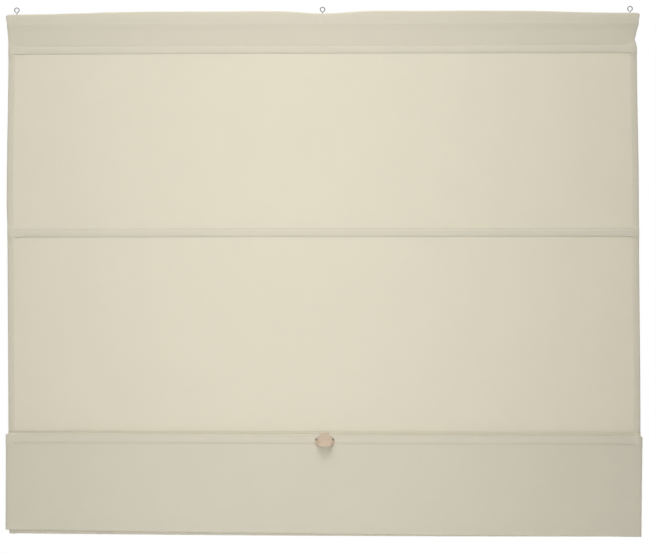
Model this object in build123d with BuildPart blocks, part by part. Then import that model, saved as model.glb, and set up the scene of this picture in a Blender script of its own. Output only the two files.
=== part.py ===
from build123d import *
import math
import os

# Cloth roman blind, hung from three screw eyes and hooked up by one level.
# Millimetres. +X right, +Y towards the window, +Z up.
# The origin is the middle of the middle screw eye's ring.

# ---- driving dimensions ----
# cloth
cloth_width = 1400.0
cloth = 0.8
side_hem = 14.0
panel_y = -0.5
seam_gap = 0.3

# heights of what is sewn across the cloth, down from the eyes
cloth_top = -9.0
pocket_tall = 18.0
pocket_1 = -89.0
pocket_2 = -495.0
pocket_3 = -952.0
band_top = -940.0
band_bottom = -1159.0
loop_turn = -1155.0
panel_end = -936.0

# battens, and the caps on their ends
batten_length = 1384.0
batten_tall = 13.0
batten_thick = 2.4
batten_round = 0.96
cap_wall = 0.6
cap_depth = 12.0
cap_play = 0.05
cap_end_wall = 1.0
cap_round = 1.48
pocket_bulge = 2.5
pocket_slope = 1.5
crease_radius = 1.0
under_rail_radius = 8.0
over_rail_radius = 3.0

# batten 4 hangs in front of batten 3 and of the cloth between them
batten_4 = -953.0
batten_4_y = -7.8
loop_front_y = -3.6
loop_back_y = 12.0
tape_4_y = -9.2

# head rail and screw eyes
rail_length = 1385.0
rail_thick = 12.0
rail_tall = 24.0
rail_round = 2.5
casing_play = 0.2
eye_hole_play = 0.2
eye_spacing = 679.0
wire = 2.0
ring_radius = 5.1
ring_sweep = 318.0
neck_radius = 3.0
shank_depth = 20.0
point_length = 3.0
point_taper = 14.0
middle_eye_turn = 15.0

# finger pull with its hook, set a little to the right of the middle
pull_x = 5.0
neck_width = 19.0
pull_width = 43.0
pull_bottom = -967.0
pull_gap = 0.15
shoulder_top = -942.0
shoulder_bottom = -949.5
ledge = -952.5
plate_thick = 1.8
shoulder_thick = 4.0
scoop_reach = 18.0
scoop_width = 38.0
scoop_top = -948.0
scoop_wall = 2.0
scoop_corner = 11.0
scoop_taper = 5.0
floor_drop = 9.0
rim_side_z = -960.0
cut_over = 1.0
hook_thick = 1.6
hook_drop = 12.0
hook_back_y = 5.2
hook_tip_thick = 1.2
hook_bend = 1.2
slit_width = 23.0
slit_tall = 2.4
slit_above_row = 4.0
rivet_reach = 18.5
rivet_z = -951.0
rivet_radius = 1.2
rivet_head = 2.4
rivet_head_thick = 0.9
rivet_head_round = 0.54
rivet_play = 0.1
rivet_sink = 1.5
rivet_tail = 0.5
rivet_tail_radius = 1.92

# ---- sizes that follow from them ----
row = pocket_tall / 2
through_cloth = 4 * cloth
rail_top = cloth_top - cloth - casing_play
rail_bottom = rail_top - rail_tall
casing_y = rail_thick / 2 + casing_play + cloth / 2
band_y = batten_4_y - pocket_bulge
pull_y = band_y - cloth / 2 - pull_gap
rim_y = pull_y - plate_thick - scoop_reach
neck_drop = ((ring_radius + neck_radius) ** 2 - neck_radius**2) ** 0.5
tape_length = cloth_width - 2 * side_hem
eye_places = {"left": -eye_spacing, "middle": 0.0, "right": eye_spacing}
rivet_places = {"left": pull_x - rivet_reach, "right": pull_x + rivet_reach}

os.makedirs("parts", exist_ok=True)


def finish(piece, label):
    """Label a finished piece and write it to its own file."""
    piece.part.label = label
    export_step(piece.part, f"parts/{label}.step")


def cloth_strip(points, radii, length=cloth_width):
    """A strip of cloth: its path seen from the side, thickened, and run across the blind."""
    with BuildPart() as strip:
        with BuildSketch(Plane.YZ.offset(-length / 2)):
            with BuildLine():
                if len(points) == 2:
                    Line(*points)
                else:
                    FilletPolyline(*points, radius=radii)
                offset(amount=cloth / 2, side=Side.BOTH)
            make_face()
        extrude(amount=length)
    return strip


def cut_slit(strip, upper_row, depth):
    """Cut the level slit, just above a pocket's upper row, that the pull's hook goes through."""
    with strip:
        with Locations((pull_x, 0, upper_row + slit_above_row)):
            Box(slit_width, depth, slit_tall, mode=Mode.SUBTRACT)


def over_batten(centre, side_y):
    """Path down one side of a pocket: upper row, out over the batten, lower row."""
    sign = 1 if side_y > 0 else -1
    return [
        (side_y, centre + row),
        (sign * pocket_bulge, centre + row - pocket_slope),
        (sign * pocket_bulge, centre - row + pocket_slope),
        (side_y, centre - row),
    ]


# ---- head rail, a plain wooden slat with a pilot hole for each screw eye ----
with BuildPart() as head_rail:
    with BuildSketch(Plane.YZ.offset(-rail_length / 2)):
        with Locations((0, rail_top - rail_tall / 2)):
            RectangleRounded(rail_thick, rail_tall, rail_round)
    extrude(amount=rail_length)
    for x in eye_places.values():
        with Locations((x, 0, rail_top)):
            Hole(wire / 2, depth=shank_depth)
finish(head_rail, "head_rail")

# ---- screw eyes: one bent wire each, with ring, neck, shank and point ----
shank_end = rail_top - shank_depth + point_length
neck_sweep = Vector(1, 0).get_angle(Vector(neck_radius, neck_drop))

for side, x in eye_places.items():
    turn = middle_eye_turn if side == "middle" else 0.0
    upright = Plane(Location((x, 0, 0), (0, 0, turn)) * Plane.XZ.location)
    with BuildPart() as screw_eye:
        with BuildLine(upright) as bent_wire:
            shank = Line((0, shank_end), (0, -neck_drop))
            neck = JernArc((0, -neck_drop), (0, 1), neck_radius, -neck_sweep)
            JernArc(neck @ 1, neck % 1, ring_radius, ring_sweep)
        with BuildSketch(Plane(origin=(x, 0, shank_end))):
            Circle(wire / 2)
        sweep(path=bent_wire.line)
        with BuildSketch(Plane(origin=(x, 0, shank_end), z_dir=(0, 0, -1))):
            Circle(wire / 2)
        extrude(amount=point_length, taper=point_taper)
    finish(screw_eye, f"screw_eye_{side}")

# ---- cloth over the head rail and round batten 1, turned to the back and sewn down ----
front_layer = [(-casing_y, rail_bottom)] + over_batten(pocket_1, panel_y)
back_layer = [(casing_y, rail_bottom)] + over_batten(pocket_1, -panel_y)
over_rail = [(casing_y, cloth_top - cloth / 2), (-casing_y, cloth_top - cloth / 2)]
side_radii = [crease_radius] * 3 + [under_rail_radius, over_rail_radius]
top_casing = cloth_strip(back_layer[::-1] + over_rail + front_layer, side_radii + side_radii[::-1])
with top_casing:
    for x in eye_places.values():
        with Locations((x, 0, cloth_top)):
            Cylinder(wire / 2 + eye_hole_play, through_cloth, mode=Mode.SUBTRACT)
cut_slit(top_casing, pocket_1 + row, rail_thick)
finish(top_casing, "top_casing")

# ---- flat panels between the pockets, and the cloth over batten 2 ----
upper_panel = cloth_strip(
    [(panel_y, pocket_1 - row - cloth - seam_gap), (panel_y, pocket_2 + row + cloth + seam_gap)], []
)
cut_slit(upper_panel, pocket_2 + row, through_cloth)
finish(upper_panel, "upper_panel")

middle_pocket = cloth_strip(over_batten(pocket_2, panel_y), [crease_radius] * 2)
finish(middle_pocket, "middle_pocket")

lower_panel = cloth_strip(
    [(panel_y, pocket_2 - row - cloth - seam_gap), (panel_y, panel_end + cloth + seam_gap)], []
)
finish(lower_panel, "lower_panel")

# ---- cloth from batten 3 down round the loop, up over batten 4 and down to the hem ----
# the bends are nearly half the gap between the layers, so that each turn is almost round
loop_radius = (loop_back_y - loop_front_y) / 2
loop_bend = loop_radius * 0.93
fold_bend = (loop_front_y - band_y) / 2 * 0.99
loop_bottom = loop_turn - loop_radius
fold_top = band_top - cloth / 2
bottom_path = (
    [(panel_y, panel_end)]
    + over_batten(pocket_3, panel_y)
    + [
        (loop_back_y, loop_bottom),
        (loop_front_y, loop_bottom),
        (loop_front_y, fold_top),
        (band_y, fold_top),
        (band_y, batten_4 - row + pocket_slope),
        (batten_4_y + panel_y, batten_4 - row),
        (batten_4_y + panel_y, band_bottom),
    ]
)
bottom_radii = [crease_radius] * 4 + [loop_bend] * 2 + [fold_bend] * 2 + [crease_radius] * 2
bottom_fold = cloth_strip(bottom_path, bottom_radii)
cut_slit(bottom_fold, pocket_3 + row, through_cloth)
with bottom_fold:
    for x in rivet_places.values():
        with Locations(Plane(origin=(x, band_y, rivet_z), z_dir=(0, -1, 0))):
            Cylinder(rivet_radius + rivet_play, through_cloth, mode=Mode.SUBTRACT)
finish(bottom_fold, "bottom_fold")

# ---- pocket tapes, sewn to the back of the cloth behind battens 2, 3 and 4 ----
for number, centre in {2: pocket_2, 3: pocket_3}.items():
    tape = cloth_strip(over_batten(centre, -panel_y), [crease_radius] * 2, tape_length)
    finish(tape, f"pocket_tape_{number}")

tape_4_path = [
    (tape_4_y, batten_4 + row - cloth),
    (batten_4_y + pocket_bulge, batten_4 + row - cloth),
    (batten_4_y + pocket_bulge, batten_4 - row + pocket_slope),
    (batten_4_y - panel_y, batten_4 - row),
]
tape_4 = cloth_strip(tape_4_path, [crease_radius] * 2, tape_length)
finish(tape_4, "pocket_tape_4")

# ---- flat battens, with a moulded cap on each end ----
batten_places = {1: (0.0, pocket_1), 2: (0.0, pocket_2), 3: (0.0, pocket_3), 4: (batten_4_y, batten_4)}
socket_thick = batten_thick + 2 * cap_play
socket_tall = batten_tall + 2 * cap_play
cap_thick = socket_thick + 2 * cap_wall
cap_tall = socket_tall + 2 * cap_wall

for number, (y, z) in batten_places.items():
    with BuildPart() as batten:
        with BuildSketch(Plane.YZ.offset(-batten_length / 2)):
            with Locations((y, z)):
                RectangleRounded(batten_thick, batten_tall, batten_round)
        extrude(amount=batten_length)
        if number == 4:
            for x in rivet_places.values():
                with Locations(Plane(origin=(x, y, rivet_z), z_dir=(0, -1, 0))):
                    Cylinder(rivet_radius, 2 * batten_thick, mode=Mode.SUBTRACT)
    finish(batten, f"batten_{number}")

    for side, outward in {"left": -1, "right": 1}.items():
        inner_end = outward * (batten_length / 2 - cap_depth)
        with BuildPart() as cap:
            with BuildSketch(Plane.YZ.offset(inner_end)):
                with Locations((y, z)):
                    RectangleRounded(cap_thick, cap_tall, cap_round)
            extrude(amount=outward * (cap_depth + cap_end_wall))
            with BuildSketch(Plane.YZ.offset(inner_end)):
                with Locations((y, z)):
                    RectangleRounded(socket_thick, socket_tall, batten_round)
            extrude(amount=outward * cap_depth, mode=Mode.SUBTRACT)
        finish(cap, f"batten_{number}_cap_{side}")

# ---- finger pull: back plate, shoulders, scoop and the hook over the fold, moulded in one ----
front_face = Plane(origin=(pull_x, pull_y, 0), x_dir=(1, 0, 0), z_dir=(0, -1, 0))
hook_top = band_top + pull_gap + hook_thick
half_pull = pull_width / 2

with BuildPart() as finger_pull:
    # back plate, narrow at the neck and wide below the shoulders
    with BuildSketch(front_face):
        with BuildLine():
            Polyline(
                (-neck_width / 2, hook_top),
                (neck_width / 2, hook_top),
                (neck_width / 2, shoulder_top),
                (half_pull, shoulder_bottom),
                (half_pull, pull_bottom),
                (-half_pull, pull_bottom),
                (-half_pull, shoulder_bottom),
                (-neck_width / 2, shoulder_top),
                close=True,
            )
        plate_outline = make_face()
        fillet(plate_outline.vertices().group_by(Axis.Y)[0], scoop_corner)
    extrude(amount=plate_thick)
    # thicker shoulders down to the ledge above the fingers
    with BuildSketch(front_face):
        with BuildLine():
            Polyline(
                (-neck_width / 2, shoulder_top),
                (neck_width / 2, shoulder_top),
                (half_pull, shoulder_bottom),
                (half_pull, ledge),
                (-half_pull, ledge),
                (-half_pull, shoulder_bottom),
                close=True,
            )
        make_face()
    extrude(amount=shoulder_thick)
    # scoop: a shallow U standing out of the plate, open at the top and the front
    scoop_face = front_face.offset(plate_thick)
    scoop_tall = scoop_top - pull_bottom
    with BuildSketch(scoop_face):
        with Locations((0, scoop_top - scoop_tall / 2)):
            Rectangle(scoop_width, scoop_tall)
        fillet(vertices().group_by(Axis.Y)[0], scoop_corner)
    extrude(amount=scoop_reach, taper=scoop_taper)
    # hollow for the fingertips, its floor falling from the plate to the rim
    hollow_width = scoop_width - 2 * scoop_wall
    narrowing = 2 * scoop_reach * math.tan(math.radians(scoop_taper))
    hollow_corner = scoop_corner - scoop_wall
    with BuildSketch(scoop_face):
        with Locations((0, scoop_top)):
            Rectangle(hollow_width, 2 * floor_drop)
        fillet(vertices().group_by(Axis.Y)[0], floor_drop - scoop_wall)
    with BuildSketch(scoop_face.offset(scoop_reach)):
        with Locations((0, scoop_top)):
            Rectangle(hollow_width - narrowing, 2 * (scoop_tall - scoop_wall) - narrowing)
        fillet(vertices().group_by(Axis.Y)[0], floor_drop - scoop_wall)
    loft(mode=Mode.SUBTRACT)
    # side walls cut back on a slope, from the shoulders down to the rim
    with BuildSketch(Plane.YZ.offset(pull_x - half_pull)):
        with BuildLine():
            Polyline(
                (pull_y - shoulder_thick, scoop_top + cut_over),
                (rim_y - cut_over, scoop_top + cut_over),
                (rim_y - cut_over, rim_side_z),
                (pull_y - shoulder_thick, ledge - cut_over),
                close=True,
            )
        make_face()
    extrude(amount=pull_width, mode=Mode.SUBTRACT)
    # hook: over the fold of the cloth and down behind pocket 3
    with BuildSketch(Plane.YZ.offset(pull_x - neck_width / 2)):
        with BuildLine():
            Polyline(
                (pull_y - plate_thick, hook_top - hook_thick),
                (pull_y - plate_thick, hook_top),
                (hook_back_y, hook_top),
                (hook_back_y, hook_top - hook_drop),
                (hook_back_y - hook_tip_thick, hook_top - hook_drop),
                (hook_back_y - hook_tip_thick, hook_top - hook_thick),
                close=True,
            )
        make_face()
    extrude(amount=neck_width)
    hook_bends = edges().filter_by(Axis.X).group_by(Axis.Z)[-1]
    fillet(hook_bends, hook_bend)
    # sunk holes for the rivets
    for x in rivet_places.values():
        with Locations(Plane(origin=(x, pull_y - shoulder_thick, rivet_z), z_dir=(0, -1, 0))):
            CounterBoreHole(rivet_radius, rivet_head + rivet_play, rivet_sink, depth=2 * shoulder_thick)
finish(finger_pull, "finger_pull")

# ---- rivets through the pull's shoulders and batten 4 ----
rivet_face = pull_y - shoulder_thick + rivet_sink
batten_back = batten_4_y + batten_thick / 2

for side, x in rivet_places.items():
    with BuildPart() as rivet:
        with BuildSketch(Plane(origin=(x, rivet_face, rivet_z), z_dir=(0, -1, 0))):
            Circle(rivet_head)
        extrude(amount=rivet_head_thick)
        fillet(edges().group_by(Axis.Y)[0], rivet_head_round)
        with BuildSketch(Plane(origin=(x, rivet_face, rivet_z), z_dir=(0, 1, 0))):
            Circle(rivet_radius)
        extrude(amount=batten_back - rivet_face)
        with BuildSketch(Plane(origin=(x, batten_back, rivet_z), z_dir=(0, 1, 0))):
            Circle(rivet_tail_radius)
        extrude(amount=rivet_tail)
    finish(rivet, f"pull_rivet_{side}")
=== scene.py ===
import bisect
import logging
import math
from dataclasses import dataclass, field
from enum import Enum
from functools import cache
from typing import Callable, Optional, Sequence, Union

import bmesh
import bpy
from mathutils import Matrix, Vector, noise


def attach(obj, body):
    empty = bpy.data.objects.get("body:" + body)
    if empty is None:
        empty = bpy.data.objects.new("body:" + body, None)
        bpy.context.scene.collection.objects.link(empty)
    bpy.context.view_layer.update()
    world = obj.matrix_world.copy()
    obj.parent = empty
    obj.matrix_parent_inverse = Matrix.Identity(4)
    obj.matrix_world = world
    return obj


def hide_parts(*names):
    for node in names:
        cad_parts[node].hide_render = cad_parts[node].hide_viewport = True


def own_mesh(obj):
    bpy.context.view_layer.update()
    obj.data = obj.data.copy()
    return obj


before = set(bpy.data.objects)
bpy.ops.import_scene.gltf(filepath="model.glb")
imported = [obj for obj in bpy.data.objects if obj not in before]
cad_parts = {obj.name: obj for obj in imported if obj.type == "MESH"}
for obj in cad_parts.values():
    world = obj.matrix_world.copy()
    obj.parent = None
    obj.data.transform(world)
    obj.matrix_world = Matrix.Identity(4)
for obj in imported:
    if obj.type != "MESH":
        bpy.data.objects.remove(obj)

LOG = logging.getLogger("roman_blind")
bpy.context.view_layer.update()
MM = 0.001

Point = tuple[float, float]
Rgb = tuple[float, float, float]


# ---------------------------------------------------------------- shader maths


def rgba(colour: Rgb, shade: float = 1.0) -> tuple[float, float, float, float]:
    """A colour with full alpha, lighter or darker by a share."""
    return (colour[0] * shade, colour[1] * shade, colour[2] * shade, 1.0)


class Tree:
    """A node tree: one method makes any node, and a few more make what the finishes share."""

    def __init__(self, nodes_of: Union[bpy.types.Material, bpy.types.World]) -> None:
        """Empty the node tree of a material or of the surroundings.

        Args:
            nodes_of: What the nodes belong to.
        """
        nodes_of.use_nodes = True
        self.nodes = nodes_of.node_tree.nodes
        self.links = nodes_of.node_tree.links
        self.nodes.clear()

    def node(self, kind: str, settings: Optional[dict] = None, **sockets: object) -> bpy.types.Node:
        """Make a node, set its settings first, then its sockets.

        Args:
            kind: The node's type.
            settings: Attributes such as operation, and "stops" for a ramp.
            **sockets: Values or wrapped sockets, named with underscores for spaces, or in_ and a number.

        Returns:
            The new node.
        """
        made = self.nodes.new(kind)
        for key, value in (settings or {}).items():
            if key == "stops":
                self._set_stops(made.color_ramp, value)
            else:
                setattr(made, key, value)
        for key, value in sockets.items():
            name = int(key[3:]) if key.startswith("in_") else key.replace("_", " ")
            if isinstance(value, Value):
                self.links.new(value.socket, made.inputs[name])
            else:
                made.inputs[name].default_value = value
        return made

    def out(
        self, kind: str, output: Union[int, str], settings: Optional[dict] = None, **sockets: object
    ) -> "Value":
        """Make a node, as node does, and wrap the output of a number or name."""
        return Value(self, self.node(kind, settings, **sockets).outputs[output])

    def place(self, scale: Sequence[float], source: str = "Object") -> "Value":
        """Coordinates stretched by a scale: Object, or UV where the pattern follows the cloth."""
        coordinates = self.out("ShaderNodeTexCoord", source)
        return self.out("ShaderNodeMapping", 0, in_0=coordinates, in_3=tuple(scale))

    def cloud(self, scale: Sequence[float], detail: float = 3.0, source: str = "Object") -> "Value":
        """Soft noise between 0 and 1, with a scale along each axis."""
        at = self.place(scale, source)
        return self.out("ShaderNodeTexNoise", 0, Vector=at, Scale=1.0, Detail=detail, Roughness=0.55)

    def bands(self, at: "Value", direction: str, scale: float, distortion: float = 0.0) -> "Value":
        """Smooth bands between 0 and 1, such as rows of thread, that cross a direction."""
        settings = {"bands_direction": direction}
        return self.out("ShaderNodeTexWave", 1, settings, Vector=at, Scale=scale, Distortion=distortion)

    def shades(self, share: "Value", colour: Rgb, first: float, second: float) -> "Value":
        """Mix two shades of a colour.

        Args:
            share: How much of the second shade shows.
            colour: The colour.
            first: How light the first shade is, where 1 is the colour itself.
            second: How light the second is.

        Returns:
            The mixed colour.
        """
        settings = {"data_type": "RGBA", "clamp_factor": True}
        ends = {"in_6": rgba(colour, first), "in_7": rgba(colour, second)}
        return self.out("ShaderNodeMix", 2, settings, in_0=share, **ends)

    def bump(self, height: "Value", strength: float, distance: float) -> "Value":
        """A bump normal from a height of 0 to 1, that stands a distance in metres at full strength."""
        return self.out("ShaderNodeBump", 0, Height=height, Strength=strength, Distance=distance)

    def shader(self, **sockets: object) -> "Value":
        """The main shader, with its sockets set or linked."""
        return self.out("ShaderNodeBsdfPrincipled", 0, **sockets)

    def backlit(self, surface: "Value", colour: Rgb, share: float) -> "Value":
        """Let a share of the light from behind shine through a thin piece.

        Args:
            surface: The piece's own shader.
            colour: Colour of the light that comes through.
            share: Share that comes through, or nothing.

        Returns:
            The shader to show.
        """
        if share <= 0:
            return surface
        through = self.out("ShaderNodeBsdfTranslucent", 0, Color=rgba(colour))
        return self.out("ShaderNodeMixShader", 0, Fac=share, in_1=surface, in_2=through)

    @staticmethod
    def _set_stops(ramp: bpy.types.ColorRamp, stops: Sequence[Point]) -> None:
        """Give a ramp its grey stops.

        Args:
            ramp: The ramp.
            stops: Place and grey value of each stop.
        """
        while len(ramp.elements) < len(stops):
            ramp.elements.new(0.5)
        for element, (place, grey) in zip(ramp.elements, stops):
            element.position = place
            element.color = (grey, grey, grey, 1.0)


@dataclass
class Value:
    """A number socket that can be written in Python expressions."""

    tree: Tree
    socket: bpy.types.NodeSocket

    def _math(self, operation: str, first: object, second: object) -> "Value":
        """Add one Math node that works on two numbers or wrapped sockets."""
        return self.tree.out("ShaderNodeMath", 0, {"operation": operation}, in_0=first, in_1=second)

    def __add__(self, other: object) -> "Value":
        """Add."""
        return self._math("ADD", self, other)

    def __radd__(self, other: object) -> "Value":
        """Add, reflected."""
        return self._math("ADD", other, self)

    def __mul__(self, other: object) -> "Value":
        """Multiply."""
        return self._math("MULTIPLY", self, other)

    def __rmul__(self, other: object) -> "Value":
        """Multiply, reflected."""
        return self._math("MULTIPLY", other, self)


# ---------------------------------------------------------------- finishes


class Finish:
    """What every finish shares: its material is made once."""

    name: str = "finish"

    @cache
    def make(self) -> bpy.types.Material:
        """Build the material once, and hand back the same one afterwards.

        Returns:
            The finished material.
        """
        material = bpy.data.materials.new(self.name)
        tree = Tree(material)
        tree.node("ShaderNodeOutputMaterial", Surface=self.surface(tree))
        return material

    def surface(self, tree: Tree) -> Value:
        """The shader, made in the finish's own tree; each finish has its own."""
        raise NotImplementedError


@dataclass(frozen=True)
class Weave(Finish):
    """Plain-woven cloth that lets some light through."""

    name: str = "cream_cloth"
    colour: Rgb = (0.80, 0.76, 0.64)
    thread: float = 0.00055
    see_through: float = 0.3
    slub: float = 0.06

    def surface(self, tree: Tree) -> Value:
        """Weave of warp and weft with slubs, mixed with light from behind.

        Args:
            tree: The finish's node tree.

        Returns:
            The shader.
        """
        scale = 2 * math.pi / (20 * self.thread)
        at = tree.place((1.0, 1.0, 1.0), "UV")
        weave = tree.bands(at, "X", scale) * tree.bands(at, "Y", scale)
        along = tree.cloud((30.0, 900.0, 1.0), source="UV")
        across = tree.cloud((900.0, 40.0, 1.0), source="UV")
        mottle = tree.cloud((14.0, 14.0, 14.0), 2.0)
        slubs = (along + across) * 0.5
        tone = slubs * 0.55 + mottle * 0.25 + weave * 0.2
        cloth = tree.shader(
            Base_Color=tree.shades(tone, self.colour, 1.0 - self.slub, 1.0 + self.slub),
            Roughness=0.86 + slubs * 0.1,
            Specular_IOR_Level=0.15,
            Sheen_Weight=0.15,
            Sheen_Roughness=0.5,
            Normal=tree.bump(weave * 0.6 + slubs * 0.4, 0.25, 0.0003),
        )
        return tree.backlit(cloth, self.colour, self.see_through)


@dataclass(frozen=True)
class Thread(Finish):
    """Twisted sewing thread."""

    name: str = "sewing_thread"
    colour: Rgb = (0.70, 0.655, 0.54)

    def surface(self, tree: Tree) -> Value:
        """Fine twist across each stitch.

        Args:
            tree: The finish's node tree.

        Returns:
            The shader.
        """
        twist = tree.bands(tree.place((1.0, 1.0, 1.0)), "DIAGONAL", 400.0, 1.0)
        return tree.shader(
            Base_Color=tree.shades(twist, self.colour, 0.86, 1.06),
            Roughness=0.6 + twist * 0.1,
            Normal=tree.bump(twist, 0.4, 0.0001),
        )


@dataclass(frozen=True)
class PlanedWood(Finish):
    """Planed softwood with grain along the rail."""

    name: str = "planed_softwood"
    colour: Rgb = (0.66, 0.47, 0.27)

    def surface(self, tree: Tree) -> Value:
        """Long grain streaks, darker late-wood lines and pores.

        Args:
            tree: The finish's node tree.

        Returns:
            The shader.
        """
        streak = tree.cloud((3.0, 160.0, 160.0), 5.0)
        fine = tree.cloud((25.0, 1400.0, 1400.0))
        lines = tree.out("ShaderNodeValToRGB", 0, {"stops": [(0.42, 0.0), (0.62, 1.0)]}, Fac=streak)
        return tree.shader(
            Base_Color=tree.shades(lines, self.colour, 1.12, 0.72),
            Roughness=0.5 + fine * 0.25,
            Normal=tree.bump(fine * 0.5 + streak * 0.5, 0.3, 0.0004),
        )


@dataclass(frozen=True)
class Metal(Finish):
    """Plated wire or rolled metal strip."""

    name: str = "plated_steel"
    colour: Rgb = (0.46, 0.46, 0.47)
    roughness: float = 0.3
    grain: tuple[float, float, float] = (400.0, 400.0, 400.0)

    def surface(self, tree: Tree) -> Value:
        """Metal with fine grain, and a duller film in patches.

        Args:
            tree: The finish's node tree.

        Returns:
            The shader.
        """
        film = tree.cloud((60.0, 60.0, 60.0))
        scratch = tree.cloud(self.grain)
        return tree.shader(
            Base_Color=tree.shades(film, self.colour, 0.8, 1.15),
            Metallic=1.0,
            Roughness=self.roughness - 0.06 + film * 0.14 + scratch * 0.06,
            Normal=tree.bump(scratch, 0.25, 0.0001),
        )


@dataclass(frozen=True)
class Moulded(Finish):
    """Moulded plastic, with a light texture and handling wear."""

    name: str = "moulded_plastic"
    colour: Rgb = (0.72, 0.71, 0.67)
    roughness: float = 0.45
    see_through: float = 0.0

    def surface(self, tree: Tree) -> Value:
        """Plastic with flow marks in its colour and a fine spark texture.

        Args:
            tree: The finish's node tree.

        Returns:
            The shader.
        """
        flow = tree.cloud((90.0, 90.0, 50.0), 4.0)
        spark = tree.cloud((2500.0, 2500.0, 2500.0), 2.0)
        plastic = tree.shader(
            Base_Color=tree.shades(flow, self.colour, 0.9, 1.08),
            Roughness=self.roughness - 0.05 + flow * 0.12,
            Normal=tree.bump(spark, 0.15, 0.0001),
        )
        return tree.backlit(plastic, self.colour, self.see_through)


@dataclass(frozen=True)
class StudioFloor(Finish):
    """Plain pale floor."""

    name: str = "pale_floor"
    colour: Rgb = (0.86, 0.86, 0.86)

    def surface(self, tree: Tree) -> Value:
        """Pale and matt, with faint clouding.

        Args:
            tree: The finish's node tree.

        Returns:
            The shader.
        """
        cloud = tree.cloud((1.5, 1.5, 1.5))
        return tree.shader(
            Base_Color=tree.shades(cloud, self.colour, 0.98, 1.02),
            Roughness=0.8 + cloud * 0.1,
        )


# ---------------------------------------------------------------- small helpers


class Body(str, Enum):
    """The bodies that pieces ride on."""

    HEAD = "head"
    MIDDLE = "middle"
    LOWER = "lower"


class Slot(str, Enum):
    """The record's finish slots."""

    CLOTH = "blind_cloth"
    TAPE = "tape_cloth"
    WOOD = "rail_wood"
    EYE = "eye_steel"
    RIVET = "rivet_steel"
    BATTEN = "batten_metal"
    CAP = "cap_plastic"
    PULL = "pull_plastic"


def add_object(name: str, shape: bmesh.types.BMesh, finish: Finish, smooth: bool = True) -> bpy.types.Object:
    """Turn a bmesh into an object in the scene, with its finish.

    Args:
        name: The piece's name.
        shape: The mesh; it is freed.
        finish: What it is made of.
        smooth: Whether faces shade smoothly.

    Returns:
        The new object.
    """
    data = bpy.data.meshes.new(name)
    for face in shape.faces:
        face.smooth = smooth
    shape.to_mesh(data)
    shape.free()
    data.materials.append(finish.make())
    made = bpy.data.objects.new(name, data)
    bpy.context.scene.collection.objects.link(made)
    return made


def apply_modifiers(piece: bpy.types.Object) -> None:
    """Put the result of a piece's modifiers into its mesh.

    Args:
        piece: The piece.
    """
    graph = bpy.context.evaluated_depsgraph_get()
    graph.update()
    final = bpy.data.meshes.new_from_object(piece.evaluated_get(graph), depsgraph=graph)
    piece.modifiers.clear()
    old = piece.data
    piece.data = final
    bpy.data.meshes.remove(old)


def ease(value: float) -> float:
    """A smooth step from 0 to 1."""
    value = min(max(value, 0.0), 1.0)
    return value * value * (3.0 - 2.0 * value)


def ripple(x: float, z: float, wave_x: float, wave_z: float, seed: float) -> float:
    """Smooth noise from -1 to 1, in waves of a width along the cloth and a height down it."""
    return noise.noise(Vector((x / wave_x + seed, z / wave_z - seed, seed)))


def between(stops: Sequence[Point], at: float) -> float:
    """Read a value off a few stops, eased from each to the next.

    Args:
        stops: Place and value, with places rising.
        at: Where to read.

    Returns:
        The value there.
    """
    if at <= stops[0][0]:
        return stops[0][1]
    for (low, first), (high, second) in zip(stops, stops[1:]):
        if at <= high:
            return first + (second - first) * ease((at - low) / (high - low))
    return stops[-1][1]


# ---------------------------------------------------------------- how the cloth hangs


@dataclass(frozen=True)
class Dent:
    """A small crease or bulge in the cloth, in mm; a positive depth goes to the back."""

    x: float
    z: float
    wide: float
    tall: float
    depth: float

    def at(self, x: float, z: float) -> float:
        """How deep the dent is at a point."""
        return self.depth * math.exp(-(((x - self.x) / self.wide) ** 2) - ((z - self.z) / self.tall) ** 2)


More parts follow.
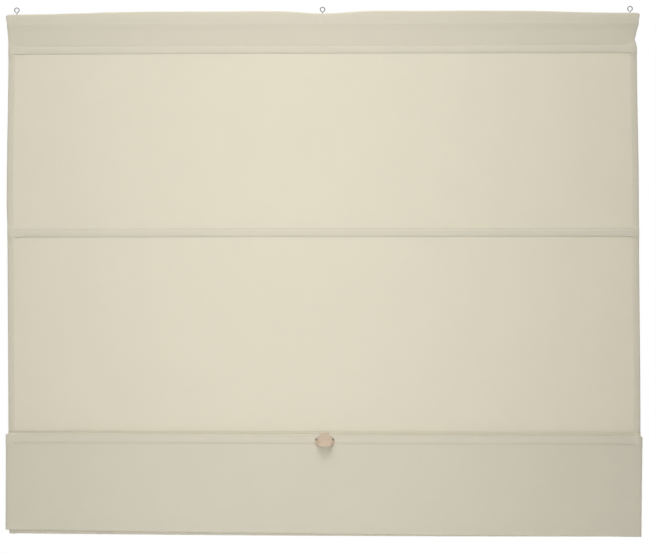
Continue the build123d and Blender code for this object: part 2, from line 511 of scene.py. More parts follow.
@dataclass
class Hang:
    """How the cloth really hangs: its edges, its slack, its dips and puckers, in mm.

    still lists the heights that don't billow. left and right give how far each edge stands out, by depth
    below the eyes.
    """

    half_width: float = 700.0
    eye_x: float = 679.0
    pull_x: float = 5.0
    rise: float = 6.2
    middle_reach: float = 110.0
    end_reach: float = 300.0
    corner_drop: float = 3.0
    corner_from: float = 691.0
    left_sag: float = 0.9
    hem_from: float = 685.0
    cap_from: float = 662.0
    slack: float = 1.3
    free_below: float = -34.0
    calm: float = 9.0
    calm_ease: float = 60.0
    dip: float = 0.18
    dip_reach: float = 3.5
    pucker: float = 0.16
    pucker_reach: float = 9.0
    pull_quiet: float = 26.0
    curl: float = 0.6
    curl_from: float = 693.5
    still: tuple[float, ...] = (-34.0, -80.0, -98.0, -486.0, -504.0, -944.0, -961.0)
    left: tuple[Point, ...] = ((0, 3), (34, 0), (68, -2.3), (98, -2.3), (422, 1.9), (495, -0.1), (931, -2.1))
    right: tuple[Point, ...] = (
        (0, 0), (34, -3), (56, -8), (68, -11), (78, -8), (86, -6), (98, -6), (422, -1.6), (495, -1), (931, 2),
    )
    dents: tuple[Dent, ...] = (
        Dent(-689, -506, 5, 4, -1.2),
        Dent(-684, -511, 6, 3, 0.7),
        Dent(690, -494, 1.6, 9, 0.8),
        Dent(684, -67, 7, 2.2, 0.9),
        Dent(676, -72, 12, 2.5, -0.6),
        Dent(688, -60, 6, 4, -0.7),
        Dent(0, -27, 3, 9, 0.5),
        Dent(-9, -24, 3, 8, -0.4),
        Dent(10, -25, 3.5, 8, -0.4),
    )

    def edge(self, x: float, depth: float) -> float:
        """How far a point, at a depth below the eyes, moves along X to follow the outline."""
        stops = self.left if x < 0 else self.right
        return math.copysign(1.0, x) * between(stops, depth) * self.share(x)

    def share(self, x: float) -> float:
        """How much of an edge's movement a point takes: all at the edge, none in the middle."""
        return min(abs(x) / self.half_width, 1.0) ** 4

    def lift(self, x: float) -> float:
        """How far the cloth's top stands above the rail: up between the eyes, down at each corner.

        Args:
            x: Place across.

        Returns:
            The move along Z.
        """
        from_end = abs(abs(x) - self.eye_x)
        from_eyes = min(ease(abs(x) / self.middle_reach), ease(from_end / self.end_reach))
        raised = self.rise * from_eyes * (0.9 + 0.1 * ripple(x, 0, 90, 1, 4.0))
        past = max(abs(x) - self.corner_from, 0.0) / (self.half_width - self.corner_from)
        return raised * (abs(x) < self.eye_x) - self.corner_drop * past**2

    def stiff(self, x: float) -> float:
        """How far a point lies in the stiff hem at the side, from 0 to 1."""
        return ease((abs(x) - self.hem_from) / 3.0)

    def sag(self, x: float) -> float:
        """How far the left end of the cloth hangs lower than the right."""
        return -self.left_sag * ease(-x / self.half_width)

    def billow(self, x: float, z: float) -> float:
        """How far the cloth hangs behind its plain path, the same for layers that lie together.

        Args:
            x: Place across.
            z: Height.

        Returns:
            The move along Y.
        """
        gap = max(min(abs(z - row) for row in self.still) - self.calm, 0.0)
        free = ease(gap / self.calm_ease) if z < self.free_below else 0.0
        waves = ripple(x, z, 260, 190, 1.7) + 0.3 * ripple(x, z, 80, 110, 3.1)
        past = max(abs(x) - self.curl_from, 0.0) / (self.half_width - self.curl_from)
        return self.slack * free * waves + self.curl * past**2 + sum(dent.at(x, z) for dent in self.dents)

    def gather(self, x: float, gap: float) -> float:
        """How far a sewn row draws the cloth in, with the small puckers beside it.

        Args:
            x: Place across.
            gap: Distance along the cloth from the row.

        Returns:
            The move to the back.
        """
        quiet = ease((abs(x - self.pull_x) - self.pull_quiet) / 20.0)
        fine = ripple(x, 0, 15, 1, 5.3) + 0.7 * ripple(x, 0, 37, 1, 7.9)
        drawn_in = self.dip * math.exp(-((gap / self.dip_reach) ** 2))
        return drawn_in + quiet * self.pucker * fine * math.exp(-gap / self.pucker_reach)


@dataclass
class Path:
    """A strip's path seen from the side: corner points in (y, z) with a round at each, in mm."""

    corners: list[Point]
    radii: list[float]
    fine: float = 1.5
    coarse: float = 11.0
    growth: float = 1.5
    arc_steps: int = 5

    def __post_init__(self) -> None:
        """Work out the points, their distance along the path and the way to the cloth's back."""
        self.points: list[Vector] = [Vector(self.corners[0])]
        for index in range(1, len(self.corners) - 1):
            arc = self._arc(index)
            self._run(arc[0])
            self.points.extend(arc[1:])
        self._run(Vector(self.corners[-1]))
        self.along = [0.0]
        for first, second in zip(self.points, self.points[1:]):
            self.along.append(self.along[-1] + (second - first).length)
        self.backs: list[Vector] = []
        for index in range(len(self.points)):
            after = self.points[min(index + 1, len(self.points) - 1)]
            way = (after - self.points[max(index - 1, 0)]).normalized()
            self.backs.append(Vector((-way.y, way.x)))
        for end in (0, -1):
            self.backs[end] = Vector((math.copysign(1.0, self.backs[end].x), 0.0))

    @property
    def length(self) -> float:
        """The path's whole length."""
        return self.along[-1]

    def at(self, distance: float) -> tuple[Vector, Vector]:
        """The point on the path at a distance along it, and the way to the back there.

        Args:
            distance: Distance from the path's start.

        Returns:
            The point and the direction.
        """
        distance = min(max(distance, 0.0), self.length)
        index = min(bisect.bisect_right(self.along, distance), len(self.along) - 1)
        low, high = self.along[index - 1], self.along[index]
        share = (distance - low) / (high - low)
        point = self.points[index - 1].lerp(self.points[index], share)
        return point, self.backs[index - 1].lerp(self.backs[index], share)

    def places(self, z: float, near_y: Optional[float] = None) -> list[float]:
        """Distances along the path at which it passes a height.

        Args:
            z: The height.
            near_y: Only passes within 3 mm of this depth.

        Returns:
            The distances, in order.
        """
        found = []
        for index in range(1, len(self.points)):
            first, second = self.points[index - 1], self.points[index]
            low, high = sorted((first.y, second.y))
            if low <= z <= high and high > low:
                share = (z - first.y) / (second.y - first.y)
                here = first.lerp(second, share)
                if near_y is None or abs(here.x - near_y) < 3.0:
                    found.append(self.along[index - 1] + share * (self.along[index] - self.along[index - 1]))
        return found

    def _arc(self, index: int) -> list[Vector]:
        """Points round one corner.

        Args:
            index: The corner's number.

        Returns:
            The points, from where the round starts to where it ends.
        """
        before, corner, after = (Vector(p) for p in self.corners[index - 1 : index + 2])
        into, away = (corner - before).normalized(), (after - corner).normalized()
        side = math.copysign(1.0, into.x * away.y - into.y * away.x)
        turn = into.angle(away)
        radius = self.radii[index - 1]
        start = corner - into * radius * math.tan(turn / 2)
        centre = start + Vector((-into.y, into.x)) * side * radius
        steps = max(2, round(self.arc_steps * turn / (math.pi / 2)))
        spins = [Matrix.Rotation(side * turn * step / steps, 2) for step in range(steps + 1)]
        return [centre + spin @ (start - centre) for spin in spins]

    def _run(self, end: Vector) -> None:
        """Add a straight run in steps that grow away from both of its ends.

        Args:
            end: Where the run ends.
        """
        start = self.points[-1]
        length = (end - start).length
        if length < 0.02:
            return
        first_half = []
        at, step = 0.0, self.fine
        while at < length / 2:
            first_half.append(at)
            at += step
            step = min(step * self.growth, self.coarse)
        for place in first_half[1:] + [length - p for p in reversed(first_half)]:
            if place > 0.4 + (self.points[-1] - start).length:
                self.points.append(start.lerp(end, place / length))


@dataclass(frozen=True)
class Opening:
    """A level slit or a small hole through the cloth, in mm."""

    x: float
    wide: float
    z: float
    tall: float


@dataclass(frozen=True)
class Swell:
    """How the cloth really lies over a batten: slim along it, and fuller in the hem over its cap, in mm.

    A plain pocket is drawn with its full depth all along, which leaves room for the caps. z and y are the
    batten's height and its row's depth, and out, slim and full are depths from that row.
    """

    z: float
    y: float
    out: float = -2.0
    slim: float = -1.15
    full: float = -2.5
    half: float = 9.0
    ramp: float = 4.5
    near: float = 30.0
    cap_spread: float = 13.4
    cap_ease: float = 12.0
    from_reach: float = -0.6
    lower_only: bool = False

    def shift(self, hang: Hang, x: float, y: float, z: float) -> float:
        """How far a point of the plain path moves to lie as real cloth does.

        Args:
            hang: How the cloth hangs, for where its hems and the caps are.
            x: Place across.
            y: The plain path's depth.
            z: Height.

        Returns:
            The move along Y.
        """
        from_middle = max(self.z - z, 0.0) if self.lower_only else abs(z - self.z)
        reach = (y - self.y) / self.out
        if from_middle > self.near or not self.from_reach < reach < 1.2:
            return 0.0
        inside = from_middle < self.half
        own = y - self.y if inside else 0.0
        centre = self.slim * ease((self.half - from_middle) / self.ramp) - own if inside else 0.0
        over_cap = self.full * math.exp(-((from_middle / self.cap_spread) ** 4)) - own
        along = 1.0 - ease((abs(x) - hang.cap_from) / self.cap_ease)
        return (centre * along + over_cap * hang.stiff(x)) * ease((reach - self.from_reach) / 0.4)


@dataclass
class Stitching:
    """Machine stitches, made as one straight run and laid on the cloth."""

    pitch: float = 3.4
    long: float = 2.6
    wide: float = 0.5
    high: float = 0.36

    def sew(
        self, seam: bmesh.types.BMesh, length: float, turn: Matrix, place: Callable[[float], Vector]
    ) -> None:
        """Copy one stitch along a run.

        Args:
            seam: The mesh that the stitches go into, in metres.
            length: The run's length.
            turn: Turns a stitch that lies along X to lie along the run.
            place: Gives a stitch's middle from its distance along the run.
        """
        one = bmesh.new()
        bmesh.ops.create_uvsphere(one, u_segments=6, v_segments=3, radius=0.5)
        bmesh.ops.scale(one, vec=(self.long, self.wide, self.high), verts=one.verts)
        bmesh.ops.transform(one, matrix=turn.to_4x4(), verts=one.verts)
        bmesh.ops.scale(one, vec=(MM, MM, MM), verts=one.verts)
        stitch = bpy.data.meshes.new("stitch")
        one.to_mesh(stitch)
        one.free()
        moved = Vector()
        for index in range(int(length / self.pitch)):
            spot = place((index + 0.5) * self.pitch) * MM
            stitch.transform(Matrix.Translation(spot - moved))
            moved = spot
            seam.from_mesh(stitch)
        bpy.data.meshes.remove(stitch)


@dataclass
class Strip:
    """A strip of cloth that follows a path, with its hems, its stitches and its slack."""

    name: str
    node: str
    body: Body
    path: Path
    hang: Hang
    finish: Finish
    slot: Slot
    held: str
    thick: float = 0.5
    half_length: float = 700.0
    hem: float = 14.0
    column: float = 4.6
    rows: list[float] = field(default_factory=list)
    drawn: list[float] = field(default_factory=list)
    sewn_from: list[tuple[float, float]] = field(default_factory=list)
    openings: list[Opening] = field(default_factory=list)
    swells: list[Swell] = field(default_factory=list)
    stitching: Stitching = field(default_factory=Stitching)
    turn: float = 0.35
    stitch_dip: float = 0.15
    made: list[bpy.types.Object] = field(default_factory=list)

    @property
    def hem_starts(self) -> float:
        """How far out the raw edge of a side hem lies."""
        return self.half_length - self.hem + 0.3

    def hem_columns(self) -> list[Point]:
        """A side hem: its turned-in layer, its fold and its front, with a small dip at its stitches.

        Returns:
            Place and offset to the back of each column, from the hem's raw edge inwards.
        """
        if not self.hem:
            return []
        edge, raw = self.half_length - self.turn, self.hem_starts
        side = [(raw + step, 2 * self.turn) for step in (0, 4, 9)]
        for step in range(5):
            angle = math.pi / 2 - math.pi * step / 4
            side.append((edge + self.turn * math.cos(angle), self.turn * (1 + math.sin(angle))))
        front = ((9, 0.0), (4, 0.0), (2.4, 0.05), (1.6, 0.2), (0.8, 0.05))
        return side + [(raw + step, offset) for step, offset in front]

    def columns(self) -> list[Point]:
        """Across the cloth: place and offset to the back, from one raw or woven edge to the other.

        Returns:
            One entry per column.
        """
        side = self.hem_columns()
        inner = self.hem_starts - 1.5 if side else self.half_length
        count = round(2 * inner / self.column)
        plain = [-inner + 2 * inner * i / count for i in range(count + 1)]
        for opening in self.openings:
            for x in (opening.x - opening.wide / 2, opening.x + opening.wide / 2):
                nearest = min(range(len(plain)), key=lambda i: abs(plain[i] - x))
                plain[nearest] = x
        flat = [(x, 0.0) for x in plain]
        return [(-x, n) for x, n in side] + flat + [(x, n) for x, n in reversed(side)]

    def shift(self, x: float, z: float, distance: float) -> Vector:
        """What moves a point of the strip beyond its plain hang, in mm; some strips have their own."""
        return Vector((self.hang.edge(x, -z), 0.0, self.hang.sag(x) * ease((z + 900.0) / 300.0)))

    def surface(self, x: float, offset: float, distance: float) -> Vector:
        """Where a point of the cloth is.

        Args:
            x: Place across.
            offset: Distance to the back of the cloth's middle.
            distance: Distance along the path.

        Returns:
            The point in mm.
        """
        point, back = self.path.at(distance)
        gap = min((abs(distance - row) for row in self.rows + self.drawn), default=200.0)
        offset += self.hang.gather(x, gap) * (1.0 - self.hang.stiff(x))
        eased = sum(swell.shift(self.hang, x, point.x, point.y) for swell in self.swells)
        y = point.x + back.x * offset + self.hang.billow(x, point.y) + eased
        z = point.y + back.y * offset
        return Vector((x, y, z)) + self.shift(x, z, distance)

    def build(self) -> bpy.types.Object:
        """Returns:
            The cloth.
        """
        columns = self.columns()
        across = [0.0]
        for (x0, n0), (x1, n1) in zip(columns, columns[1:]):
            across.append(across[-1] + math.hypot(x1 - x0, n1 - n0))
        shape = self._lay(columns, across)
        self._cut(shape)
        bmesh.ops.reverse_faces(shape, faces=shape.faces)
        piece = add_object(self.name, shape, self.finish)
        solid = piece.modifiers.new("thickness", "SOLIDIFY")
        solid.thickness = self.thick * MM
        solid.offset = 0.0
        apply_modifiers(piece)
        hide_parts(self.node)
        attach(piece, self.body.value)
        sewing = self._stitches()
        self.made = [piece] + ([sewing] if sewing else [])
        return piece

    def _lay(self, columns: list[Point], across: list[float]) -> bmesh.types.BMesh:
        """Lay a grid where the cloth is, with a UV map in metres of cloth.

        Args:
            columns: Place and offset of each column.
            across: Distance of each column across the cloth.

        Returns:
            The mesh.
        """
        rows = self._with_slits(sorted(set(self.path.along)))
        wide, tall = len(columns) - 1, len(rows) - 1
        shape = bmesh.new()
        bmesh.ops.create_grid(shape, x_segments=wide, y_segments=tall, size=1.0, calc_uvs=True)
        layer = shape.loops.layers.uv.verify()
        for vertex in shape.verts:
            i = round((vertex.co.x + 1) / 2 * wide)
            j = round((vertex.co.y + 1) / 2 * tall)
            for loop in vertex.link_loops:
                loop[layer].uv = (across[i] * MM, rows[j] * MM)
            vertex.co = self.surface(*columns[i], rows[j]) * MM
        return shape

    def _with_slits(self, rows: list[float]) -> list[float]:
        """Put a row of the grid on both lips of each opening.

        Args:
            rows: Distances along the path.

        Returns:
            The distances, with the lips among them.
        """
        for opening in self.openings:
            for z in (opening.z - opening.tall / 2, opening.z + opening.tall / 2):
                for place in self.path.places(z):
                    rows = [row for row in rows if abs(row - place) > 0.5 or row in (rows[0], rows[-1])]
                    rows = sorted(rows + [place])
        return rows

    def _cut(self, shape: bmesh.types.BMesh) -> None:
        """Take out the faces inside each opening.

        Args:
            shape: The cloth's mesh.
        """
        gone = []
        for face in shape.faces:
            middle = face.calc_center_median() / MM
            for opening in self.openings:
                inside = abs(middle.x - opening.x) < opening.wide / 2
                if inside and abs(middle.z - opening.z) < opening.tall / 2:
                    gone.append(face)
        bmesh.ops.delete(shape, geom=gone, context="FACES")

    def _stitches(self) -> Optional[bpy.types.Object]:
        """Lay the sewn rows and the hem stitches on the front and the back of the cloth.

        Returns:
            The stitches, or nothing where nothing is sewn.
        """
        seam = bmesh.new()
        skin = self.thick / 2 + 0.04
        end = self.half_length - self.hem - 1
        for row in self.rows:
            turn = self._frame(row)
            for side in (-skin, skin):
                self.stitching.sew(seam, 2 * end, turn, lambda u, n=side: self.surface(u - end, n, row))
        x_hem = self.half_length - self.hem + 1.9
        for low, high in self.sewn_from:
            turn = self._frame((low + high) / 2) @ Matrix.Rotation(math.pi / 2, 3, "Z")
            for x in (-x_hem, x_hem):
                for side in (self.stitch_dip - skin, 2 * self.turn + skin):
                    self.stitching.sew(seam, high - low, turn, lambda u, n=side: self.surface(x, n, low + u))
        if not seam.verts:
            seam.free()
            return None
        sewing = add_object(f"{self.name}_stitches", seam, Thread())
        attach(sewing, self.body.value)
        return sewing

    def _frame(self, distance: float) -> Matrix:
        """Turn X, Y and Z to lie across the cloth, along its path and towards its back.

        Args:
            distance: Distance along the path.

        Returns:
            The turn.
        """
        back = self.path.at(distance)[1].normalized()
        along, behind = Vector((0, back.y, -back.x)), Vector((0, back.x, back.y))
        return Matrix((Vector((1, 0, 0)), along, behind)).transposed()

    def shorten(self) -> None:
        """Give each of the strip's pieces a mesh of its own.
        """
        for piece in self.made:
            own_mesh(piece)


@dataclass
class TopCasing(Strip):
    """The cloth over the head rail and round batten 1, a little full in front of the rail."""

    full: float = 0.45
    full_z: float = -19.0
    full_tall: float = 8.0
    lift_from: float = -30.0
    lift_ease: float = 18.0

    def shift(self, x: float, z: float, distance: float) -> Vector:
        """Lift the cloth off the rail between the eyes, fill its front and follow the outline.

        Args:
            x: Place across.
            z: Height.
            distance: Distance along the path.

        Returns:
            The move in mm.
        """
        raised = self.hang.lift(x) * ease((z - self.lift_from) / self.lift_ease) + self.hang.sag(x)
        front = distance > self.path.length / 2
        over_rail = math.exp(-(((z - self.full_z) / self.full_tall) ** 2))
        full = self.full * (1.4 + ripple(x, 0, 120, 1, 2.2)) * front * over_rail
        return Vector((self.hang.edge(x, -z), -full, raised))


@dataclass
class BottomFold(Strip):
    """The cloth from batten 3 down round the loop, up over batten 4 and down to the hem."""

    pocket_end: float = -962.0
    corner_from: float = 690.0
    corner_droop: float = 3.0
    fold_reach: float = 9.0
    bow: float = 2.0
    bow_reach: float = 60.0
    longer: float = 10.6
    longer_between: Point = (-600.0, 620.0)
    leave: float = field(init=False)
    loop: float = field(init=False)
    fold: float = field(init=False)
    tilt: tuple[Point, ...] = field(init=False)
    left: tuple[Point, ...] = field(init=False)
    right: tuple[Point, ...] = field(init=False)

    def __post_init__(self) -> None:
        """Find the path's stations: end of pocket 3, the loop's lowest point, the fold and the hem."""
        heights = [point.y for point in self.path.points]
        self.leave = self.path.places(self.pocket_end)[0]
        loop = self.path.along[heights.index(min(heights))]
        fold_at = max(range(len(heights)), key=lambda i: (self.path.along[i] > loop) * (heights[i] + 2000))
        self.loop, self.fold = loop, self.path.along[fold_at]
        self.tilt = (
            (self.leave, 0.0), (self.loop, -1.9), (self.fold, -1.9), (self.fold + 12, -0.7),
            (self.fold + 30, -0.7), (self.path.length - 30, -0.7),
        )
        self.left = ((self.leave, -2.1), (self.loop, -4.5), (self.fold, 2.0), (self.path.length, 3.0))
        self.right = ((self.leave, 2.0), (self.loop, 3.7), (self.fold, 5.0), (self.path.length, 3.0))

    def shift(self, x: float, z: float, distance: float) -> Vector:
        """Tilt and widen the band, round the ends of its fold, bow its loop and drop its right side.

        Args:
            x: Place across.
            z: Height.
            distance: Distance along the path.

        Returns:
            The move in mm.
        """
        stops = self.left if x < 0 else self.right
        out = between(stops, distance) * self.hang.share(x) * math.copysign(1.0, x)
        near_fold = math.exp(-(((distance - self.fold) / self.fold_reach) ** 2))
        near_loop = math.exp(-(((distance - self.loop) / self.bow_reach) ** 2))
        corner = max(abs(x) - self.corner_from, 0.0) / (self.half_length - self.corner_from)
        droop = -self.corner_droop * near_fold * corner**2
        bow = -self.bow * near_loop * (1.0 - (x / self.half_length) ** 2)
        low, high = self.longer_between
        longer = self.longer * max((x - low) / (high - low), 0.0) ** 0.75
        hem = -longer * ease((distance - self.fold - 40.0) / (self.path.length - self.fold - 70.0))
        return Vector((out, 0.0, between(self.tilt, distance) * x / self.half_length + droop + bow + hem))


# ---------------------------------------------------------------- the whole blind


@dataclass
class Cloth:
    """Every strip of cloth on the blind, in the order they hang."""

    hang: Hang = field(default_factory=Hang)
    panel_y: float = -0.5
    bulge: float = 2.5
    slope: float = 1.5
    half_pocket: float = 9.0
    pockets: tuple[float, float, float] = (-89.0, -495.0, -952.0)
    casing_y: float = 6.6
    casing_top: float = -9.35
    rail_bottom: float = -34.0
    taper_y: float = 4.1
    taper_drop: float = 13.0
    pocket_clear: float = 22.0
    rail_clear: float = 30.0
    lower_end: float = -936.0
    batten_4: Point = (-7.8, -953.0)
    loop_y: Point = (12.0, -3.6)
    loop_bottom: float = -1164.0
    loop_round: float = 0.93
    fold_top: float = -940.45
    hem_bottom: float = -1153.5
    hem_turn: float = 1.0
    hem_depth: float = 14.0
    foot_row: float = 12.5
    full_round: float = 0.99
    turn_clear: float = 8.0
    slit: Point = (23.0, 0.4)
    open_slit: Point = (19.3, 1.64)
    slit_above_row: float = 4.0
    open_slit_above_row: float = 3.75
    middle_travel: float = 0.406
    lower_travel: float = 0.457
    behind: float = 5.5
    tape_half_length: float = 686.0
    tape_4_top_y: float = -9.2

    def over(self, centre: float, side_y: float) -> list[Point]:
        """Path down one side of a pocket: upper row, out over the batten, lower row.

        Args:
            centre: The pocket's height.
            side_y: Depth of its rows, before or behind the batten.

        Returns:
            The path's corners.
        """
        out = math.copysign(self.bulge, side_y)
        high, low = centre + self.half_pocket, centre - self.half_pocket
        return [(side_y, high), (out, high - self.slope), (out, low + self.slope), (side_y, low)]

    def slit_over(self, centre: float, size: Point, above_row: float) -> Opening:
        """The slit of a width and a height that lies above the upper row of a pocket."""
        return Opening(self.hang.pull_x, size[0], centre + self.half_pocket + above_row, size[1])

    def strip(
        self, kind: type, name: str, body: Body, corners: list[Point], radii: list[float], **more: object
    ) -> Strip:
        """A strip of the blind's own cloth.

        Args:
            kind: Strip, or a kind of its own.
            name: The CAD piece that it stands for.
            body: What it rides on.
            corners: Its path's corners.
            radii: The round at each inner corner.
            **more: The strip's other fields.

        Returns:
            The strip, not built yet.
        """
        more.setdefault("held", "hung")
        path = Path(corners, radii)
        return kind(f"{name}_cloth", name, body, path, self.hang, Weave(), Slot.CLOTH, **more)

    def build(self) -> None:
        """Make every strip from the rail down."""
        self._casing().build()
        self._draw_up(self._upper_panel())
        self._middle_pocket().build()
        self._draw_up(self._lower_panel())
        self._bottom().build()
        self._tapes()

    def _casing(self) -> Strip:
        """The cloth from pocket 1's back over the rail to pocket 1's front.

        Returns:
            The strip.
        """
        first = self.pockets[0]
        under_rail, below = self.rail_bottom + 1.0, self.rail_bottom - self.taper_drop
        front = [(-self.casing_y, under_rail), (-self.taper_y, below)] + self.over(first, self.panel_y)
        back = [(self.casing_y, under_rail), (self.taper_y, below)] + self.over(first, -self.panel_y)
        over_rail = [(self.casing_y, self.casing_top), (-self.casing_y, self.casing_top)]
        down = [2, 12, 8, 2.5]
        casing = self.strip(
            TopCasing,
            "top_casing",
            Body.HEAD,
            back[::-1] + over_rail + front,
            [1, 1] + down + down[::-1] + [1, 1],
            held="folded",
            openings=[self.slit_over(first, self.slit, self.slit_above_row)],
            swells=[Swell(first, self.panel_y), Swell(first, -self.panel_y, 2.0, 1.15, 2.5)],
        )
        path = casing.path
        top = path.length / 2
        casing.rows = [0.6] + path.places(first + self.half_pocket) + [path.length]
        casing.sewn_from = [
            (self.pocket_clear, top - self.rail_clear),
            (top + self.rail_clear, path.length - self.pocket_clear),
        ]
        return casing

    def _upper_panel(self) -> Strip:
        """The flat cloth between pockets 1 and 2.

        Returns:
            The strip.
        """
        first, second = self.pockets[:2]
        ends = [(self.panel_y, first - self.half_pocket), (self.panel_y, second + self.half_pocket)]
        panel = self.strip(
            Strip,
            "upper_panel",
            Body.HEAD,
            ends,
            [],
            openings=[self.slit_over(second, self.slit, self.slit_above_row)],
            swells=[Swell(first, self.panel_y), Swell(second, self.panel_y)],
        )
        panel.sewn_from = [(4.0, panel.path.length - 4)]
        return panel

    def _middle_pocket(self) -> Strip:
        """The front of pocket 2.

        Returns:
            The strip.
        """
        second = self.pockets[1]
        corners, swells = self.over(second, self.panel_y), [Swell(second, self.panel_y)]
        pocket = self.strip(Strip, "middle_pocket", Body.MIDDLE, corners, [1, 1], swells=swells)
        pocket.rows = [0.0, pocket.path.length]
        return pocket

    def _lower_panel(self) -> Strip:
        """The flat cloth between pockets 2 and 3.

        Returns:
            The strip.
        """
        second, third = self.pockets[1:]
        ends = [(self.panel_y, second - self.half_pocket), (self.panel_y, self.lower_end)]
        swells = [Swell(second, self.panel_y), Swell(third, self.panel_y)]
        panel = self.strip(Strip, "lower_panel", Body.MIDDLE, ends, [], swells=swells)
        panel.sewn_from = [(4.0, panel.path.length - 1)]
        return panel

    def _draw_up(self, strip: Strip) -> None:
        """Build a panel that is sewn in at both ends, and give its pieces meshes of their own.

        Args:
            strip: The panel.
        """
        strip.drawn = [0.0, strip.path.length]
        strip.build()
        strip.shorten()

    def _bottom(self) -> Strip:
        """The strip from batten 3 round the loop and over batten 4 to the hem.

        Returns:
            The strip.
        """
        third = self.pockets[2]
        y4, z4 = self.batten_4
        back_y, front_y = self.loop_y
        band_y = y4 - self.bulge
        hem_y = y4 + self.panel_y
        loop = (back_y - front_y) / 2 * self.loop_round
        fold = (front_y - band_y) / 2 * self.full_round
        round_loop = [(back_y, self.loop_bottom), (front_y, self.loop_bottom)]
        over_fold = [(front_y, self.fold_top), (band_y, self.fold_top)]
        below = z4 - self.half_pocket
        band = [(band_y, below + self.slope), (hem_y, below), (hem_y, self.hem_bottom)]
        inside = hem_y + 2 * self.hem_turn
        hem = [(inside, self.hem_bottom), (inside, self.hem_bottom + self.hem_depth)]
        pocket = self.over(third, self.panel_y)
        turn = self.hem_turn * self.full_round
        strip = self.strip(
            BottomFold,
            "bottom_fold",
            Body.LOWER,
            [(self.panel_y, self.lower_end)] + pocket + round_loop + over_fold + band + hem,
            [1, 1, 1, 1, loop, loop, fold, fold, 1, 1, turn, turn],
            held="folded",
            openings=[self.slit_over(third, self.open_slit, self.open_slit_above_row)],
            swells=[Swell(third, self.panel_y), Swell(z4, hem_y, slim=-2.0, full=-2.4, lower_only=True)],
        )
        path = strip.path
        upper_3 = path.places(third + self.half_pocket, self.panel_y)[0]
        lower_3 = path.places(third - self.half_pocket, 0.0)[0]
        upper_4 = path.places(z4 + self.half_pocket, band_y)[-1]
        lower_4 = path.places(below + 0.01, hem_y)[-1]
        foot = path.places(self.hem_bottom + self.foot_row, hem_y)[0]
        strip.rows = [upper_3, lower_3, upper_4, lower_4, foot]
        strip.sewn_from = [
            (strip.leave + 6, strip.loop - self.turn_clear),
            (strip.loop + self.turn_clear, strip.fold - self.turn_clear),
            (lower_4 + 4, foot),
        ]
        return strip

    def _tapes(self) -> None:
        """The woven tapes that close pockets 2, 3 and 4 at the back."""
        y4, z4 = self.batten_4
        high, low = z4 + self.half_pocket - 0.8, z4 - self.half_pocket
        back_y, row_y = y4 + self.bulge, y4 - self.panel_y
        closed = [(self.tape_4_top_y, high), (back_y, high), (back_y, low + self.slope), (row_y, low)]
        paths = {
            2: (Body.MIDDLE, self.over(self.pockets[1], -self.panel_y)),
            3: (Body.LOWER, self.over(self.pockets[2], -self.panel_y)),
            4: (Body.LOWER, closed),
        }
        for number, (body, corners) in paths.items():
            path = Path(corners[::-1], [1, 1], fine=1.2)
            tape = Strip(
                f"woven_tape_{number}",
                f"pocket_tape_{number}",
                body,
                path,
                self.hang,
                Weave("tape_cotton", (0.76, 0.71, 0.59), 0.0008, 0.15, 0.08),
                Slot.TAPE,
                "hung",
                half_length=self.tape_half_length,
                hem=0.0,
            )
            tape.rows = [0.5, path.length - 0.5]
            tape.build()


@dataclass
class Fittings:
    """The rail, eyes, battens, caps, pull and rivets, dressed in their finishes."""

    smooth_angle: float = 35.0
    pull_round: float = 0.5

    def build(self) -> None:
        """Dress each CAD piece, or a smoothed copy of it."""
        steel = Metal("zinc_wire", (0.20, 0.20, 0.21), 0.34)
        dark = Metal("browned_steel", (0.30, 0.27, 0.24), 0.6)
        rolled = Metal("rolled_aluminium", (0.78, 0.78, 0.77), 0.34, (6.0, 500.0, 500.0))
        moulded = Moulded("cream_moulding", (0.72, 0.70, 0.64))
        fawn = Moulded("fawn_moulding", (0.62, 0.50, 0.385), 0.6, 0.12)
        self.dress("head_rail", PlanedWood())
        for side in ("left", "middle", "right"):
            self.copy(f"screw_eye_{side}", steel, Slot.EYE, Body.HEAD)
        for number in range(1, 5):
            self.dress(f"batten_{number}", rolled)
            for side in ("left", "right"):
                self.dress(f"batten_{number}_cap_{side}", moulded)
        self.copy("finger_pull", fawn, Slot.PULL, Body.LOWER, self.pull_round)
        for side in ("left", "right"):
            self.copy(f"pull_rivet_{side}", dark, Slot.RIVET, Body.LOWER)

    def dress(self, node: str, finish: Finish) -> None:
        """Give a CAD piece its finish through its material slots.

        Args:
            node: The CAD piece.
            finish: What it is made of.
        """
        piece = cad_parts[node]
        if not piece.data.materials:
            piece.data.materials.append(finish.make())
        for held in piece.material_slots:
            held.material = finish.make()
        LOG.info("%s: %s", node, finish.name)

    def copy(self, node: str, finish: Finish, slot: Slot, body: Body, round_edges: float = 0.0) -> None:
        """Stand a merged, smoothly shaded copy in for a CAD piece.

        Args:
            node: The CAD piece.
            finish: What it is made of.
            slot: The record's finish slot; not used.
            body: What it rides on.
            round_edges: Width of the round on its edges in mm, or nothing.
        """
        shape = bmesh.new()
        shape.from_mesh(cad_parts[node].data)
        bmesh.ops.remove_doubles(shape, verts=shape.verts, dist=0.002 * MM)
        if round_edges:
            bmesh.ops.dissolve_limit(
                shape,
                angle_limit=math.radians(1.0),
                verts=shape.verts,
                edges=shape.edges,
                use_dissolve_boundaries=False,
            )
        piece = add_object(f"{node}_shaded", shape, finish)
        piece.data.set_sharp_from_angle(angle=math.radians(self.smooth_angle))
        if round_edges:
            bevel = piece.modifiers.new("edges", "BEVEL")
            bevel.width = round_edges * MM
            bevel.segments = 3
            bevel.limit_method = "ANGLE"
            bevel.angle_limit = math.radians(self.smooth_angle)
            bevel.harden_normals = False
        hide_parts(node)
        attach(piece, body.value)
        LOG.info("%s: %s", node, finish.name)


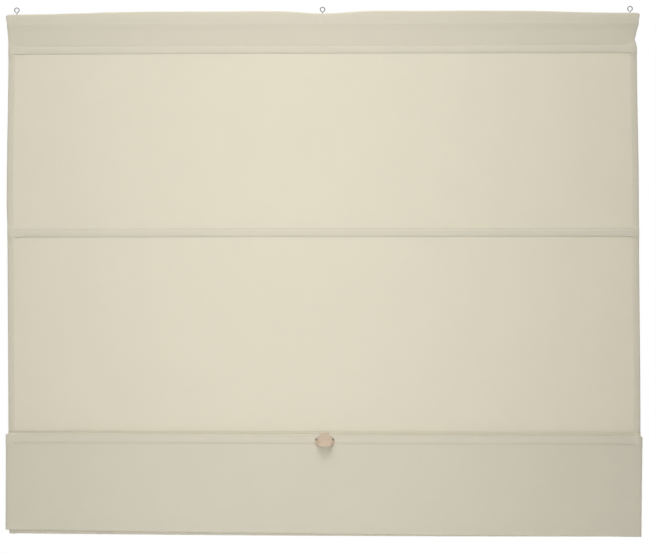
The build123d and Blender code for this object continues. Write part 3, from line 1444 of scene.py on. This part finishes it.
@dataclass(frozen=True)
class SoftLight:
    """A soft rectangular light, wide by tall, in metres and watts."""

    name: str
    place: tuple[float, float, float]
    aim: tuple[float, float, float]
    size: Point
    power: float
    colour: Rgb = (1.0, 1.0, 1.0)

    def add(self) -> None:
        """Put the light in the scene, aimed and out of the camera's sight."""
        data = bpy.data.lights.new(self.name, "AREA")
        data.shape = "RECTANGLE"
        data.size, data.size_y = self.size
        data.energy = self.power
        data.color = self.colour
        light = bpy.data.objects.new(self.name, data)
        light.location = self.place
        way = Vector(self.aim) - Vector(self.place)
        light.rotation_euler = way.to_track_quat("-Z", "Y").to_euler()
        light.visible_camera = False
        bpy.context.scene.collection.objects.link(light)


WARM = (1.0, 0.99, 0.97)


@dataclass
class Studio:
    """Plain light, floor and camera, in metres."""

    distance: float = 4.0
    turned: float = math.radians(1.0)
    aim_x: float = 0.0132
    aim_z: float = -0.5925
    frame_width: float = 1.455
    sensor: float = 36.0
    floor_z: float = -1.75
    floor_radius: float = 2.6
    surround: Rgb = (0.97, 0.985, 1.0)
    surround_strength: float = 0.114
    lights: tuple[SoftLight, ...] = (
        SoftLight("key", (-0.1, -1.7, 1.15), (-0.05, 0.0, -0.75), (0.9, 0.9), 20.2, WARM),
        SoftLight("front", (-0.1, -1.5, -0.62), (-0.1, 0.0, -0.62), (0.5, 1.7), 14.8, WARM),
        SoftLight("window", (-0.05, 1.9, -0.4), (-0.05, 0.0, -0.5), (1.4, 1.4), 20.7),
        SoftLight("overhead", (0.0, 0.6, 2.2), (0.0, 0.6, 0.0), (4.0, 4.0), 120.0),
    )

    def build(self) -> None:
        """Set up the view, the surroundings, the lights and the floor."""
        scene = bpy.context.scene
        scene.view_settings.view_transform = "Standard"
        self._camera(scene)
        self._surroundings(scene)
        for light in self.lights:
            light.add()
            LOG.info("%s light: %.1f W", light.name, light.power)
        self._floor()

    def _camera(self, scene: bpy.types.Scene) -> None:
        """Add a camera nearly square to the blind, at its mid height.

        Args:
            scene: The scene that it looks at.
        """
        data = bpy.data.cameras.new("camera")
        data.sensor_width = self.sensor
        data.lens = data.sensor_width * self.distance / self.frame_width
        data.clip_end = 50.0
        camera = bpy.data.objects.new("camera", data)
        across, away = self.distance * math.sin(self.turned), self.distance * math.cos(self.turned)
        camera.location = (self.aim_x + across, -away, self.aim_z)
        camera.rotation_euler = (math.radians(90), 0.0, self.turned)
        scene.collection.objects.link(camera)
        scene.camera = camera

    def _surroundings(self, scene: bpy.types.Scene) -> None:
        """Add white surroundings, that light the blind more softly than they look.

        Args:
            scene: The scene that they are round.
        """
        world = bpy.data.worlds.new("studio")
        tree = Tree(world)
        lit = tree.out("ShaderNodeBackground", 0, Color=rgba(self.surround), Strength=self.surround_strength)
        white = tree.out("ShaderNodeBackground", 0, Color=(1.0, 1.0, 1.0, 1.0), Strength=1.0)
        seen = tree.out("ShaderNodeLightPath", "Is Camera Ray")
        both = tree.out("ShaderNodeMixShader", 0, Fac=seen, in_1=lit, in_2=white)
        tree.node("ShaderNodeOutputWorld", Surface=both)
        scene.world = world

    def _floor(self) -> None:
        """Add a round pale floor, well below the blind."""
        shape = bmesh.new()
        bmesh.ops.create_circle(shape, cap_ends=True, segments=96, radius=self.floor_radius)
        bmesh.ops.translate(shape, vec=(0.0, 0.0, self.floor_z), verts=shape.verts)
        add_object("floor", shape, StudioFloor(), smooth=False)


def main() -> None:
    """Build the blind and its surroundings in order."""
    logging.basicConfig(level=logging.INFO, format="%(message)s")
    Cloth().build()
    Fittings().build()
    Studio().build()


if __name__ == "__main__":
    main()
